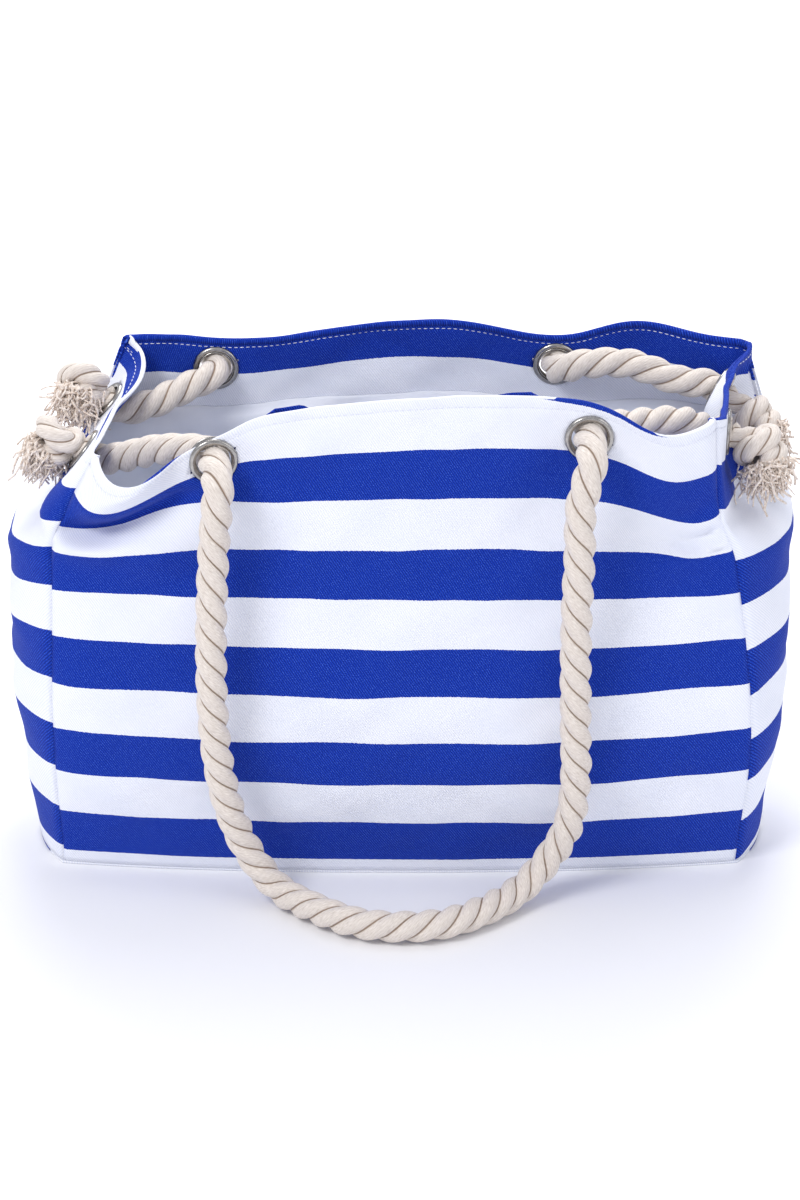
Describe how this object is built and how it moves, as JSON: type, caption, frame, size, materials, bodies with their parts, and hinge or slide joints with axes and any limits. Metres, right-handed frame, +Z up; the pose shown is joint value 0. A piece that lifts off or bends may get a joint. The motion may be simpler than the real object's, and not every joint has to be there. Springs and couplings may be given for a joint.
{
  "type": "beach bag",
  "caption": "Open-topped striped canvas beach tote with lined walls, metal grommets, and two twisted rope handles that swing, each knotted outside the gussets.",
  "frame": {"origin": "on the floor at the middle of the base panel", "axes": "+Z up, +X along the bag's width, front panel towards -Y"},
  "size_m": [0.5204, 0.3522, 0.3308],
  "materials": {
    "striped_canvas": "woven cotton canvas, even blue and white horizontal stripes, matt",
    "rim_facing": "woven cotton canvas, blue band over white, matt",
    "lining_cloth": "thin plain white cloth",
    "pocket_cloth": "thin white cloth with a blue top band",
    "nickel": "antique nickel plate, softly polished",
    "cotton_rope": "three-strand twisted cotton rope, off-white, matt"
  },
  "bodies": {
    "bag": {"front_panel": "striped_canvas", "back_panel": "striped_canvas", "left_gusset": "striped_canvas", "right_gusset": "striped_canvas", "base_panel": "striped_canvas", "front_facing": "rim_facing", "back_facing": "rim_facing", "left_facing": "rim_facing", "right_facing": "rim_facing", "front_lining": "lining_cloth", "back_lining": "lining_cloth", "left_lining": "lining_cloth", "right_lining": "lining_cloth", "base_lining": "lining_cloth", "inner_pocket": "pocket_cloth", "grommet_front_left": "nickel", "grommet_front_right": "nickel", "grommet_back_left": "nickel", "grommet_back_right": "nickel", "grommet_side_left_front": "nickel", "grommet_side_left_back": "nickel", "grommet_side_right_front": "nickel", "grommet_side_right_back": "nickel", "washer_front_left": "nickel", "washer_front_right": "nickel", "washer_back_left": "nickel", "washer_back_right": "nickel", "washer_side_left_front": "nickel", "washer_side_left_back": "nickel", "washer_side_right_front": "nickel", "washer_side_right_back": "nickel", "front_rope_left": "cotton_rope", "front_rope_right": "cotton_rope", "back_rope_left": "cotton_rope", "back_rope_right": "cotton_rope", "knot_front_left": "cotton_rope", "knot_front_right": "cotton_rope", "knot_back_left": "cotton_rope", "knot_back_right": "cotton_rope", "frayed_end_front_left": "cotton_rope", "frayed_end_front_right": "cotton_rope", "frayed_end_back_left": "cotton_rope", "frayed_end_back_right": "cotton_rope"},
    "front_handle": {"front_handle_loop": "cotton_rope"},
    "back_handle": {"back_handle_loop": "cotton_rope"}
  },
  "joints": [
    {"name": "front_handle_swing", "type": "hinge", "parent": "bag", "child": "front_handle", "pos_m": [-0.10905, -0.11562, 0.28956], "axis": [-0.9977, -0.0359, -0.0568], "range_deg": [0, 160]},
    {"name": "back_handle_swing", "type": "hinge", "parent": "bag", "child": "back_handle", "pos_m": [-0.12187, 0.1024, 0.2947], "axis": [0.9998, 0.0157, 0.0134], "range_deg": [0, 160]}
  ]
}
